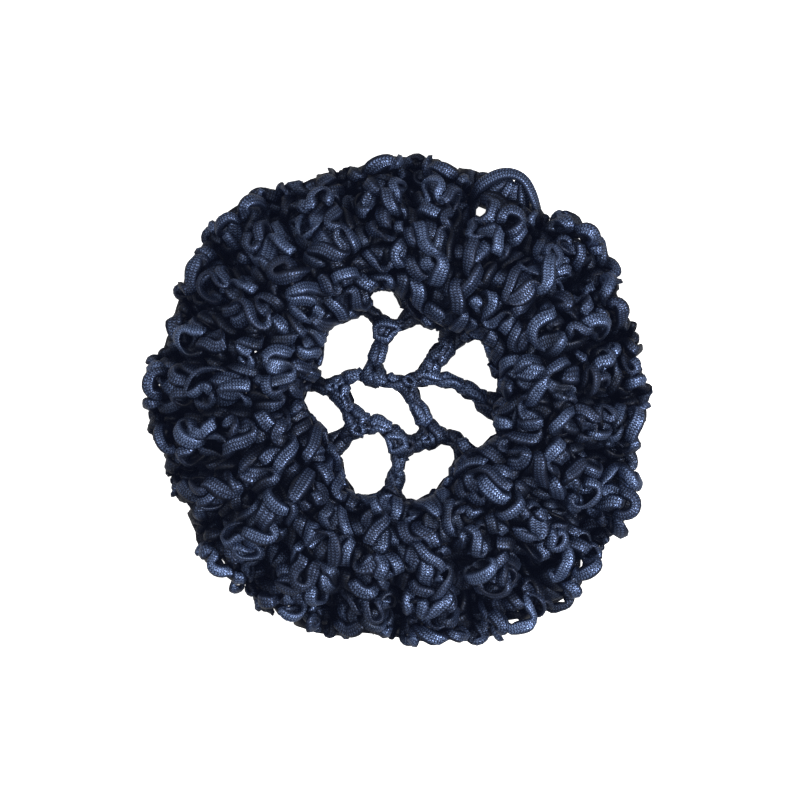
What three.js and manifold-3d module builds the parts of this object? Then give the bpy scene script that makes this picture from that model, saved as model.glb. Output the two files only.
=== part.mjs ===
// A small crocheted bun snood in flat knitted tape, lying on its rim.
// An open chain net spans a tight round of stitches that covers the elastic.
// Two frills grow out of that band: a lower one that spreads to the outline in deep folds,
// and an upper one that laps in over the net, rolls over the band and lies outwards.
// Millimetres, +Z up, origin on the resting surface under the middle of the whole outline.
import * as THREE from "three";
import Module from "manifold-3d";
import { mergeVertices } from "three/addons/utils/BufferGeometryUtils.js";

const wasm = await Module();
wasm.setup();

// Driving sizes
const snoodWidth = 116; // across the outline at a fold that reaches 1
const fabricThickness = 3.4; // one layer of stitches worked in tape
const seamGap = 0.3; // left between two pieces that are worked together

const bandRadius = 31; // middle of the round of stitches over the elastic
const bandWidth = 6;
const bandHeight = 7;
const bandChamfer = 1.5; // along the underside, either side of the flat it rests on

const netStrandWidth = 4.6; // one chain of tape, seen from above
const netStrandThickness = 3;
const netKnotWidth = 6;
const netKnotThickness = 3.5;
const netRise = 6.5; // how far the middle of the net stands above its last round

const outerWaveHeight = 15; // trough to crest of the outer frill's folds at its edge
const innerWaveHeight = 9.5; // the same on the inner frill
const innerReach = 44.5; // how far out the inner frill's edge lies
const frillSlack = 2; // between the crests of one frill and the troughs of the other
const innerBelly = 26.4; // the inner frill's inner side, where a fold laps in least
const innerLap = 7; // how much further in a fold of lap 1 comes
const innerRiseToBelly = 6.5; // height of that inner side above the band
const innerCrownHeight = 17; // height of the roll above the band

// The folds round the frills, anticlockwise from +X. middle is the angle of a fold's crest in
// degrees, reach and depth are shares of the outer frill's radius and wave height, and lap is
// the share of innerLap by which the inner frill comes in over the net.
const folds = [
  { middle: 8, reach: 0.98, depth: 0.92, lap: 0.13 },
  { middle: 24, reach: 0.97, depth: 1.0, lap: 0.25 },
  { middle: 40, reach: 1.03, depth: 0.95, lap: 0.55 },
  { middle: 60, reach: 1.03, depth: 1.0, lap: 0.9 },
  { middle: 77, reach: 0.945, depth: 0.88, lap: 0.6 },
  { middle: 93, reach: 0.955, depth: 0.96, lap: 0.25 },
  { middle: 112, reach: 0.94, depth: 1.0, lap: 0.5 },
  { middle: 132, reach: 1.0, depth: 0.95, lap: 0.6 },
  { middle: 148, reach: 0.97, depth: 0.9, lap: 0.8 },
  { middle: 162, reach: 0.93, depth: 0.86, lap: 0.95 },
  { middle: 177, reach: 0.99, depth: 0.97, lap: 0.85 },
  { middle: 192, reach: 0.96, depth: 0.9, lap: 0.95 },
  { middle: 207, reach: 0.93, depth: 0.94, lap: 1.0 },
  { middle: 223, reach: 1.0, depth: 1.0, lap: 0.85 },
  { middle: 243, reach: 0.98, depth: 0.93, lap: 0.45 },
  { middle: 263, reach: 0.945, depth: 1.0, lap: 0.4 },
  { middle: 281, reach: 0.97, depth: 0.9, lap: 0.3 },
  { middle: 299, reach: 1.03, depth: 0.96, lap: 0.45 },
  { middle: 318, reach: 1.06, depth: 1.0, lap: 0.75 },
  { middle: 336, reach: 1.03, depth: 0.92, lap: 0.3 },
  { middle: 353, reach: 1.0, depth: 0.97, lap: 0.1 },
];
const troughReach = 0.97; // a trough's reach, as a share of its neighbours' mean
const stepsPerFold = 8;
const edgeRounding = 0.4; // how far an edge bulges past its last row, in fabric thicknesses

// Stations from the band out to the edge of the outer frill. out is the share of the way out,
// wave the share of the wave height, lean the steepest tilt of the cloth in radians, and lift
// the share of the band's height that the troughs lie above the surface.
const outerStations = [
  { out: 0.0, wave: 0.04, lean: 0.3, lift: 0.28 },
  { out: 0.25, wave: 0.22, lean: 0.9, lift: 0.14 },
  { out: 0.5, wave: 0.52, lean: 1.2, lift: 0.05 },
  { out: 0.76, wave: 0.82, lean: 1.4, lift: 0.0 },
  { out: 1.0, wave: 1.0, lean: 1.5, lift: 0.0 },
];

// Stations along the inner frill, from its root on the band over the belly and the roll to its
// edge. out is the share of the way from the belly to the edge, up the share of the height
// named in rise, and wave and lean are as above.
const innerStations = [
  { name: "root", wave: 0.03, lean: 0.2 },
  { name: "belly", out: 0.0, up: 1.0, rise: innerRiseToBelly, wave: 0.06, lean: 0.4 },
  { name: "shoulder", out: 0.2, up: 0.88, rise: innerCrownHeight, wave: 0.17, lean: 0.7 },
  { name: "crown", out: 0.58, up: 1.0, rise: innerCrownHeight, wave: 0.45, lean: 1.0 },
  { name: "edge", out: 1.0, wave: 1.0, lean: 1.4 },
];

// The net. A knot's x and y are shares of the radius of the net's last round.
const knots = {
  top: { x: -0.09, y: 0.67 },
  westCentre: { x: -0.225, y: 0.2 },
  eastCentre: { x: 0.13, y: 0.16 },
  west: { x: -0.49, y: 0.09 },
  southWest: { x: -0.335, y: -0.22 },
  south: { x: 0.015, y: -0.32 },
  southEast: { x: 0.27, y: -0.295 },
};
// to is a knot, or an angle in degrees on the last round. bow is the strand's sideways curve as
// a share of its length, to the left of its run.
const strands = [
  { from: "top", to: "westCentre", bow: 0 },
  { from: "westCentre", to: "eastCentre", bow: -0.05 },
  { from: "westCentre", to: "west", bow: 0 },
  { from: "west", to: "southWest", bow: 0 },
  { from: "southWest", to: "south", bow: 0.1 },
  { from: "south", to: "southEast", bow: -0.15 },
  { from: "eastCentre", to: "southEast", bow: 0 },
  { from: "top", to: 120, bow: 0 },
  { from: "top", to: 70, bow: -0.14 },
  { from: "eastCentre", to: 55, bow: -0.12 },
  { from: "eastCentre", to: 357, bow: 0.12 },
  { from: "southEast", to: 312, bow: 0.14 },
  { from: "south", to: 267, bow: 0 },
  { from: "southWest", to: 220, bow: 0 },
  { from: "west", to: 170, bow: 0 },
  { from: "west", to: 143, bow: 0 },
];

// Facets
const lastRoundSteps = 40;
const strandSides = 6;
const strandStep = 6;
const knotSides = 8;
const knotRows = 5;
const bandSteps = 48;
const bandArcSteps = 3;
const mergeDistance = 1e-4;

const radians = THREE.MathUtils.degToRad;
const mix = THREE.MathUtils.lerp;

// One fold of gathered cloth, seen along the cloth: its direction swings to lean and back.
// Gives, for each step from trough over crest to trough, how far along the fold it lies from 0
// to 1, and how high from -1 to 1.
function foldShape(lean) {
  const finer = 16;
  const count = stepsPerFold * finer;
  const run = [{ along: 0, up: 0 }];
  for (let i = 0; i < count; i++) {
    const slope = lean * Math.sin((2 * Math.PI * (i + 0.5)) / count);
    const last = run[i];
    run.push({ along: last.along + Math.cos(slope), up: last.up + Math.sin(slope) });
  }
  const length = run[count].along;
  const height = run[count / 2].up;
  return Array.from({ length: stepsPerFold }, (_, k) => {
    const { along, up } = run[k * finer];
    return { along: along / length, up: (2 * up) / height - 1 };
  });
}

// The angle of the trough before fold i, half way between two crests.
function troughBefore(i) {
  const here = folds[i].middle;
  const before = i ? folds[i - 1].middle : folds[folds.length - 1].middle - 360;
  return radians((here + before) / 2);
}

// A column of the fold table at a share along fold i, smooth from crest to crest, and dipping
// to the share atTrough of that at the troughs.
function foldValue(column, i, along, atTrough = 1) {
  const n = folds.length;
  const rising = along < 0.5;
  const from = folds[rising ? (i + n - 1) % n : i][column];
  const to = folds[rising ? i : (i + 1) % n][column];
  const share = rising ? along + 0.5 : along - 0.5;
  const dip = (1 + Math.cos(2 * Math.PI * along)) / 2;
  return mix(from, to, (1 - Math.cos(Math.PI * share)) / 2) * mix(1, atTrough, dip);
}

// A frill from its stations. sectionAt(station, i, along) gives the middle of the cloth there
// as radius and height, before it is folded, and waveHeight the folds' height.
function frillGeometry(stations, sectionAt, waveHeight) {
  const shapes = stations.map((station) => foldShape(station.lean));
  const columns = folds.length * stepsPerFold;
  const cloth = Array.from({ length: columns }, (_, column) => {
    const i = Math.floor(column / stepsPerFold);
    const step = column % stepsPerFold;
    const start = troughBefore(i);
    const width = (i + 1 < folds.length ? troughBefore(i + 1) : troughBefore(0) + 2 * Math.PI) - start;
    const section = stations.map((station, k) => sectionAt(station, i, shapes[k][step].along));
    return stations.map((station, k) => {
      const { along, up } = shapes[k][step];
      const from = section[Math.max(k - 1, 0)];
      const to = section[Math.min(k + 1, stations.length - 1)];
      const run = new THREE.Vector2(to.r - from.r, to.z - from.z).normalize();
      const wave = (station.wave * waveHeight) / 2;
      const push = wave * ((up + 1) * foldValue("depth", i, along) - 1);
      const radius = section[k].r - run.y * push;
      const angle = start + along * width;
      const height = section[k].z + run.x * push;
      return new THREE.Vector3(radius * Math.cos(angle), radius * Math.sin(angle), height);
    });
  });
  return clothSolid(cloth);
}

// A closed ring of cloth as a solid wall of fabricThickness, with rounded edges.
function clothSolid(cloth) {
  const columns = cloth.length;
  const rows = cloth[0].length;
  const half = fabricThickness / 2;
  const sides = cloth.map((line, i) => {
    const next = cloth[(i + 1) % columns];
    const before = cloth[(i + columns - 1) % columns];
    const normals = line.map((_, k) => {
      const around = next[k].clone().sub(before[k]);
      const outwards = line[Math.min(k + 1, rows - 1)].clone().sub(line[Math.max(k - 1, 0)]);
      return outwards.cross(around).normalize();
    });
    const offset = (k, side) => line[k].clone().addScaledVector(normals[k], side * half);
    const tip = (end, inner) => {
      const past = end.clone().sub(inner).setLength(edgeRounding * fabricThickness);
      return end.clone().add(past);
    };
    const face = line.map((_, k) => offset(k, 1));
    const back = line.map((_, k) => offset(k, -1)).reverse();
    return [...face, tip(line[rows - 1], line[rows - 2]), ...back, tip(line[0], line[1])];
  });
  return ringGeometry(sides);
}

// A closed ring through a loop of points at each column, as one closed mesh facing out.
function ringGeometry(loops) {
  const columns = loops.length;
  const around = loops[0].length;
  const index = [];
  for (let i = 0; i < columns; i++)
    for (let k = 0; k < around; k++) {
      const a = i * around + k;
      const b = i * around + ((k + 1) % around);
      const c = ((i + 1) % columns) * around + k;
      const d = ((i + 1) % columns) * around + ((k + 1) % around);
      index.push(a, b, c, b, d, c);
    }
  const geometry = new THREE.BufferGeometry().setFromPoints(loops.flat());
  geometry.setIndex(index);
  geometry.computeVertexNormals();
  return geometry;
}

// The outer frill: its troughs lie on the surface, and its root is beside the band.
const outerRoot = bandRadius + bandWidth / 2 + seamGap + edgeRounding * fabricThickness;
const outerEdge = snoodWidth / 2 - edgeRounding * fabricThickness;
const troughHeight = (lift) => fabricThickness / 2 + lift * bandHeight;

function outerSection(station, i, along) {
  const reach = foldValue("reach", i, along, troughReach);
  const out = station.out * (outerEdge * reach - outerRoot);
  const wave = (station.wave * outerWaveHeight) / 2;
  return { r: outerRoot + out, z: troughHeight(station.lift) + wave };
}

// The top of the outer frill's crests at a radius.
function outerTopAt(radius) {
  const share = (radius - outerRoot) / (outerEdge - outerRoot);
  const next = outerStations.findIndex((station) => station.out >= share);
  const above = outerStations[Math.max(next, 1)];
  const below = outerStations[Math.max(next, 1) - 1];
  const t = (share - below.out) / (above.out - below.out);
  const crest = (station) => troughHeight(station.lift) + station.wave * outerWaveHeight;
  return mix(crest(below), crest(above), t) + fabricThickness / 2;
}

// The inner frill: its root is on the band, and its edge rests on the outer frill.
function innerSection(station, i, along) {
  const foot = bandHeight + seamGap;
  if (station.name === "root")
    return { r: bandRadius, z: foot + edgeRounding * fabricThickness };
  const belly = innerBelly - innerLap * foldValue("lap", i, along);
  const r = mix(belly, innerReach, station.out);
  if (station.name === "edge") {
    return { r, z: outerTopAt(innerReach) + frillSlack + fabricThickness / 2 + innerWaveHeight / 2 };
  }
  return { r, z: foot + station.up * station.rise };
}

// The band: a round with a flat underside that the snood rests on.
function bandGeometry() {
  const inner = bandRadius - bandWidth / 2;
  const outer = bandRadius + bandWidth / 2;
  const top = bandHeight - bandWidth / 2;
  const profile = new THREE.Path();
  profile.moveTo(inner + bandChamfer, 0);
  profile.lineTo(outer - bandChamfer, 0);
  profile.lineTo(outer, bandChamfer);
  profile.lineTo(outer, top);
  profile.absarc(bandRadius, top, bandWidth / 2, 0, Math.PI, false);
  profile.lineTo(inner, bandChamfer);
  profile.closePath();
  const points = profile.getPoints(bandArcSteps);
  return new THREE.LatheGeometry(points, bandSteps).rotateX(Math.PI / 2);
}

// The net hangs between knots on a low dome, and its last round is worked into the band.
const netRadius = bandRadius - bandWidth / 2 - seamGap - netStrandThickness / 2;
const netEdgeHeight = bandHeight - netStrandThickness / 2;
const netHeightAt = (r) => netEdgeHeight + netRise * Math.max(0, 1 - (r / netRadius) ** 2);
const onNet = (x, y) => new THREE.Vector3(x, y, netHeightAt(Math.hypot(x, y)));
const onRound = (degrees) =>
  onNet(netRadius * Math.cos(radians(degrees)), netRadius * Math.sin(radians(degrees)));
const knotAt = (end) =>
  typeof end === "number" ? onRound(end) : onNet(netRadius * knots[end].x, netRadius * knots[end].y);

// A strand's section: an oval, flat in the plane of the net.
function strandSection(width, thickness) {
  const oval = new THREE.Shape();
  for (let k = 0; k < strandSides; k++) {
    const turn = (2 * Math.PI * (k + 0.5)) / strandSides;
    const point = [(thickness / 2) * Math.cos(turn), (width / 2) * Math.sin(turn)];
    if (k) oval.lineTo(...point);
    else oval.moveTo(...point);
  }
  oval.closePath();
  return oval;
}

// A strand along points, with its section kept level, as a closed mesh.
function strandGeometry(points, width, thickness, closed = false) {
  const section = strandSection(width, thickness).getPoints();
  const count = points.length;
  const loops = points.map((point, i) => {
    const next = points[closed ? (i + 1) % count : Math.min(i + 1, count - 1)];
    const before = points[closed ? (i + count - 1) % count : Math.max(i - 1, 0)];
    const ahead = next.clone().sub(before).normalize();
    const level = new THREE.Vector3(0, 0, 1).cross(ahead).normalize();
    const upright = ahead.clone().cross(level);
    return section
      .slice(0, strandSides)
      .map((p) => point.clone().addScaledVector(upright, p.x).addScaledVector(level, p.y));
  });
  if (closed) return ringGeometry(loops);
  return tubeGeometry(loops);
}

// An open run of loops closed by a fan at each end.
function tubeGeometry(loops) {
  const around = loops[0].length;
  const index = [];
  for (let i = 0; i + 1 < loops.length; i++)
    for (let k = 0; k < around; k++) {
      const a = i * around + k;
      const b = i * around + ((k + 1) % around);
      index.push(a, b, a + around, b, b + around, a + around);
    }
  const last = (loops.length - 1) * around;
  for (let k = 1; k + 1 < around; k++) index.push(0, k + 1, k, last, last + k, last + k + 1);
  const geometry = new THREE.BufferGeometry().setFromPoints(loops.flat());
  geometry.setIndex(index);
  return geometry;
}

function strandPoints(strand) {
  const start = knotAt(strand.from);
  const end = knotAt(strand.to);
  const length = Math.hypot(end.x - start.x, end.y - start.y);
  const left = { x: -(end.y - start.y) / length, y: (end.x - start.x) / length };
  const steps = Math.max(3, Math.round(length / strandStep));
  return Array.from({ length: steps + 1 }, (_, k) => {
    const t = k / steps;
    const side = strand.bow * length * 4 * t * (1 - t);
    return onNet(mix(start.x, end.x, t) + side * left.x, mix(start.y, end.y, t) + side * left.y);
  });
}

// A closed mesh as a solid for joining, turned to face out.
function solidOf(geometry) {
  const bare = geometry.clone();
  bare.deleteAttribute("normal");
  bare.deleteAttribute("uv");
  const merged = mergeVertices(bare, mergeDistance);
  const vertProperties = new Float32Array(merged.attributes.position.array);
  const triVerts = new Uint32Array(merged.index.array);
  const make = () => new wasm.Manifold(new wasm.Mesh({ numProp: 3, vertProperties, triVerts }));
  const solid = make();
  if (solid.volume() > 0) return solid;
  triVerts.reverse();
  return make();
}

function geometryOf(solid) {
  const mesh = solid.getMesh();
  const geometry = new THREE.BufferGeometry();
  geometry.setAttribute("position", new THREE.BufferAttribute(mesh.vertProperties, 3));
  geometry.setIndex(new THREE.BufferAttribute(mesh.triVerts, 1));
  geometry.computeVertexNormals();
  return geometry;
}

function netGeometry() {
  const pieces = strands.map((strand) =>
    strandGeometry(strandPoints(strand), netStrandWidth, netStrandThickness)
  );
  const round = Array.from({ length: lastRoundSteps }, (_, k) => onRound((360 * k) / lastRoundSteps));
  pieces.push(strandGeometry(round, netStrandThickness, netStrandThickness, true));
  for (const name of Object.keys(knots)) {
    const at = knotAt(name);
    const knot = new THREE.SphereGeometry(netKnotWidth / 2, knotSides, knotRows).rotateX(Math.PI / 2);
    pieces.push(knot.scale(1, 1, netKnotThickness / netKnotWidth).translate(at.x, at.y, at.z));
  }
  return geometryOf(pieces.map(solidOf).reduce((joined, piece) => joined.add(piece)));
}

// Colours of the tape, from the photograph
const tapeColour = new THREE.Color(0.045, 0.06, 0.12);
const tapeMaterial = (name) =>
  new THREE.MeshStandardMaterial({ name, color: tapeColour, roughness: 0.55, metalness: 0 });

function piece(name, geometry) {
  const mesh = new THREE.Mesh(geometry, tapeMaterial(name));
  mesh.name = name;
  return mesh;
}

const snood = new THREE.Group();
snood.name = "bun_snood";
snood.add(piece("crown_net", netGeometry()));
snood.add(piece("rim_band", bandGeometry()));
snood.add(piece("inner_frill", frillGeometry(innerStations, innerSection, innerWaveHeight)));
snood.add(piece("outer_frill", frillGeometry(outerStations, outerSection, outerWaveHeight)));

// Stand it on the middle of its outline.
const middle = new THREE.Box3().setFromObject(snood).getCenter(new THREE.Vector3());
snood.position.set(-middle.x, -middle.y, 0);

export default snood;
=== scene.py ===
# Crocheted bun snood in flat navy tape, lying on its rim and seen from straight above.
import time
import bpy
import numpy as np
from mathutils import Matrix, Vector


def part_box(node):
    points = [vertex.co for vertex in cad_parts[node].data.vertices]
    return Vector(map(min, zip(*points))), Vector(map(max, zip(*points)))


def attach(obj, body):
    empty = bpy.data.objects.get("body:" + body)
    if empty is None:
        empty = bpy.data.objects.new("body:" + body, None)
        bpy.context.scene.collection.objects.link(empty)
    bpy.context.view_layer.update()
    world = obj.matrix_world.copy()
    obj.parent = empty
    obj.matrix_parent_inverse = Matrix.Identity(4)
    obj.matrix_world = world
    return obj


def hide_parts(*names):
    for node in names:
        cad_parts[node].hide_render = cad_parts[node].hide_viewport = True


startTime = time.time()


def report(*words):
    print(*words, round(time.time() - startTime, 1))


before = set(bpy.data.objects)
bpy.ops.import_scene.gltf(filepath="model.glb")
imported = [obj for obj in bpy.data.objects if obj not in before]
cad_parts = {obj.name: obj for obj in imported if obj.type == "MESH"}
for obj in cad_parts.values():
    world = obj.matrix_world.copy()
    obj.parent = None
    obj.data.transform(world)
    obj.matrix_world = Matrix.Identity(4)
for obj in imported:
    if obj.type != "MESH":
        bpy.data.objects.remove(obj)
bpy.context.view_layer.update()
print("frame loaded", sorted(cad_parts))

mm = 0.001  # everything below is worked out in millimetres
seedNumber = 793

bandLow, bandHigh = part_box("rim_band")
middle = np.array([(bandLow.x + bandHigh.x) / 2, (bandLow.y + bandHigh.y) / 2, 0.0]) / mm

tape = {  # the flat knitted tape that the whole snood is worked in
    "width": 3.4,
    "thickness": 0.9,
    "curl": 0.45,       # how far its edges roll over
    "step": 1.1,        # length of one segment of mesh
    "roll": 0.35,       # how far it gives way, to bend over its flat side
    "fullWidth": 1.18,  # on a straight run, as a share of its width
    "perBend": 0.5,     # how much a bend and a sideways turn gather it
    "perTurn": 0.9,
    "narrowest": 0.66,
    "widest": 1.15,
    "offTable": 0.05,   # least height of its underside
}

snood = {  # driving sizes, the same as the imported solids
    "width": 116.0,
    "fabric": 3.4,
    "seamGap": 0.3,
    "bandRadius": 31.0,
    "bandWidth": 6.0,
    "bandHeight": 7.0,
    "edgeRounding": 0.4,
    "outerWave": 15.0,
    "innerWave": 9.5,
    "innerReach": 44.5,
    "frillSlack": 2.0,
    "innerBelly": 26.4,
    "innerLap": 7.0,
    "riseToBelly": 6.5,
    "crownHeight": 17.0,
    "troughReach": 0.97,
}

# The folds, anticlockwise from +X: crest angle, reach, depth, lap over the net
folds = np.array([
    (8, 0.98, 0.92, 0.13), (24, 0.97, 1, 0.25), (40, 1.03, 0.95, 0.55),
    (60, 1.03, 1, 0.9), (77, 0.945, 0.88, 0.6), (93, 0.955, 0.96, 0.05),
    (112, 0.94, 1, 0.5), (132, 1, 0.95, 0.6), (148, 0.97, 0.9, 0.8),
    (162, 0.93, 0.86, 0.95), (177, 0.99, 0.97, 0.85), (192, 0.96, 0.9, 0.95),
    (207, 0.93, 0.94, 1), (223, 1, 1, 0.85), (243, 0.98, 0.93, 0.45),
    (263, 0.945, 1, 0.4), (281, 0.97, 0.9, 0.3), (299, 1.03, 0.96, 0.45),
    (318, 1.06, 1, 0.75), (336, 1.03, 0.92, 0.3), (353, 1, 0.97, 0.1),
])
crestAt, reachAt, depthAt, lapAt = range(4)   # their columns
foldCount = len(folds)
gridSteps = 24   # columns of the working grid in one fold
gridRows = 40    # its rows from root to edge
gridColumns = foldCount * gridSteps


# The folded cloth of a frill

def norm(vectors, keep=False):
    return np.linalg.norm(vectors, axis=-1, keepdims=keep)


def unit(vectors):
    return vectors / np.maximum(norm(vectors, True), 1e-9)


def curveThrough(knots, values, at):  # a smooth curve through values, read at any place
    knots = np.asarray(knots, float)
    values = np.asarray(values, float)
    slopes = np.gradient(values, knots, axis=0)
    k = np.clip(np.searchsorted(knots, at, side="right") - 1, 0, len(knots) - 2)
    span = knots[k + 1] - knots[k]
    t = (at - knots[k]) / span
    ends = values[k] * (1 + 2 * t) * (1 - t) ** 2 + values[k + 1] * t * t * (3 - 2 * t)
    return ends + span * (slopes[k] * t * (1 - t) ** 2 - slopes[k + 1] * t * t * (1 - t))


def stationCurve(stations, name, v):
    return curveThrough([s["v"] for s in stations], [s[name] for s in stations], v)


def foldRun(lean):  # how far along and how high a gathered fold lies, from trough to trough
    finer = 8
    count = gridSteps * finer
    slope = lean * np.sin(2 * np.pi * (np.arange(count) + 0.5) / count)
    along = np.concatenate([[0], np.cumsum(np.cos(slope))])
    up = np.concatenate([[0], np.cumsum(np.sin(slope))])
    along = along / along[-1]
    up = 2 * up / up[count // 2] - 1
    return along[:-1:finer], up[:-1:finer]


def foldValue(column, along, atTrough=1.0):  # a column of the fold table at a share along each fold
    here = folds[:, column][:, None, None]
    rising = along < 0.5
    first = np.where(rising, np.roll(here, 1, axis=0), here)
    second = np.where(rising, here, np.roll(here, -1, axis=0))
    share = np.where(rising, along + 0.5, along - 0.5)
    value = first + (second - first) * (1 - np.cos(np.pi * share)) / 2
    return value * (1 + (atTrough - 1) * (1 + np.cos(2 * np.pi * along)) / 2)


# Where the edge of the outer frill draws in: angle, depth in millimetres, half width in degrees
notches = np.array([
    (50, 6, 5), (61, 8, 6.5), (72, 1.5, 3), (86, 1, 3), (102, 3.5, 5), (121, 2.5, 4), (141, 1.5, 3),
    (155, 2.2, 4), (168, 2.5, 4), (184, 1.2, 4), (197, 2, 4), (213, 1.8, 4), (232, 2.8, 5),
    (271, 1.6, 4), (325, 4, 3), (346, 2.6, 6), (25, -1, 4), (281, -1.4, 4), (335, -2, 3),
])


def drawIn(degrees):
    away = (degrees[..., None] - notches[:, 0] + 180) % 360 - 180
    return np.sum(notches[:, 1] * np.exp(-(away / notches[:, 2]) ** 2), axis=-1)


def clothOf(stations, sectionAt, waveHeight, drawn=0.0):  # the middle of a frill's cloth as a grid of points
    v = np.linspace(0, 1, gridRows)
    wave = stationCurve(stations, "wave", v)
    runs = [foldRun(lean) for lean in stationCurve(stations, "lean", v)]
    along = np.array([run[0] for run in runs]).T[None]   # 1, step, row
    up = np.array([run[1] for run in runs]).T[None]
    r, z = sectionAt(v[None, None, :], along, wave[None, None, :])
    dr = np.gradient(r, axis=2)
    dz = np.gradient(z, axis=2)
    length = np.hypot(dr, dz)
    push = wave * waveHeight / 2 * ((up + 1) * foldValue(depthAt, along) - 1)
    r = r - dz / length * push
    z = z + dr / length * push
    crest = folds[:, crestAt]
    trough = (crest + np.concatenate([[crest[-1] - 360], crest[:-1]])) / 2
    width = np.diff(np.concatenate([trough, [trough[0] + 360]]))
    degrees = trough[:, None, None] + along * width[:, None, None]
    angle = np.radians(degrees)
    r = r - drawn * drawIn(degrees) * v ** 1.5
    points = np.stack([r * np.cos(angle), r * np.sin(angle), z], axis=-1) + middle
    points = points.reshape(gridColumns, gridRows, 3)
    outwards = np.gradient(points, axis=1)
    around = (np.roll(points, -1, axis=0) - np.roll(points, 1, axis=0)) / 2
    normal = unit(np.cross(outwards, around))
    return {"points": points, "outwards": outwards, "around": unit(around), "normal": normal}


rounding = snood["edgeRounding"] * snood["fabric"]
outerRoot = snood["bandRadius"] + snood["bandWidth"] / 2 + snood["seamGap"] + rounding
outerEdge = snood["width"] / 2 - rounding

outerStations = [dict(zip(("v", "wave", "lean", "lift"), row)) for row in (
    (0, 0.04, 0.3, 0.28), (0.25, 0.22, 0.9, 0.14), (0.5, 0.52, 1.2, 0.05), (0.76, 0.82, 1.4, 0), (1, 1, 1.5, 0),
)]
innerStations = [dict(zip(("v", "wave", "lean", "out", "belly"), row)) for row in (
    (0, 0.03, 0.2, 0, 0),   # out and belly are the shares of the reach and of the belly in its radius
    (0.26, 0.06, 0.4, 0, 1),
    (0.5, 0.17, 0.7, 0.2, 0.8),
    (0.74, 0.45, 1, 0.58, 0.42),
    (1, 1, 1.4, 1, 0),
)]
shoulder = 0.88   # how much of the inner frill's rise is reached half way
waveShare = {"outer": 0.85, "inner": 0.75}   # the stitches' own height makes up the rest


def outerSection(v, along, wave):
    lift = stationCurve(outerStations, "lift", v)
    reach = foldValue(reachAt, along, snood["troughReach"])
    r = outerRoot + v * (outerEdge * reach - outerRoot)
    z = snood["fabric"] / 2 + lift * snood["bandHeight"] + wave * snood["outerWave"] / 2
    return r, z + 0 * r


def outerTopAt(radius):  # the top of the outer frill's crests
    at = [s["v"] for s in outerStations]
    share = (radius - outerRoot) / (outerEdge - outerRoot)
    crests = [s["lift"] * snood["bandHeight"] + s["wave"] * snood["outerWave"] for s in outerStations]
    return snood["fabric"] + np.interp(share, at, crests)


def innerSection(v, along, wave):
    at = [s["v"] for s in innerStations]
    foot = snood["bandHeight"] + snood["seamGap"]
    reach = snood["innerReach"]
    rise = snood["crownHeight"]
    edgeHeight = outerTopAt(reach) + snood["frillSlack"]
    edgeHeight += snood["fabric"] / 2 + snood["innerWave"] / 2
    belly = snood["innerBelly"] - snood["innerLap"] * foldValue(lapAt, along)
    fixed = curveThrough(at, [snood["bandRadius"]] + [s["out"] * reach for s in innerStations[1:]], v)
    ofBelly = stationCurve(innerStations, "belly", v)
    heights = [foot + rounding, foot + snood["riseToBelly"], foot + shoulder * rise, foot + rise, edgeHeight]
    r = fixed + ofBelly * belly
    return r, curveThrough(at, heights, v) + 0 * r


outerCloth = clothOf(outerStations, outerSection, snood["outerWave"] * waveShare["outer"], 1.0)
innerCloth = clothOf(innerStations, innerSection, snood["innerWave"] * waveShare["inner"])
report("cloth laid out")


def onCloth(cloth, column, v):  # place, row direction, outward direction and normal on the cloth
    inside = np.clip(v, 0, 1)
    c0 = np.floor(column).astype(int)
    fc = (column - c0)[:, None]
    row = inside * (gridRows - 1)
    r0 = np.clip(np.floor(row).astype(int), 0, gridRows - 2)
    fr = (row - r0)[:, None]
    c1 = (c0 + 1) % gridColumns
    c0 = c0 % gridColumns

    def read(name):
        grid = cloth[name]
        near = grid[c0, r0] * (1 - fc) + grid[c1, r0] * fc
        far = grid[c0, r0 + 1] * (1 - fc) + grid[c1, r0 + 1] * fc
        return near * (1 - fr) + far * fr

    outwards = read("outwards")
    place = read("points") + outwards * ((v - inside) * (gridRows - 1))[:, None]
    return place, unit(read("around")), unit(outwards), unit(read("normal"))


# Stitches, point by point: x along the row in pitches, y from base to top of the row, z out of
# the cloth in millimetres, then the way that the flat of the tape faces, as x, y, z

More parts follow.
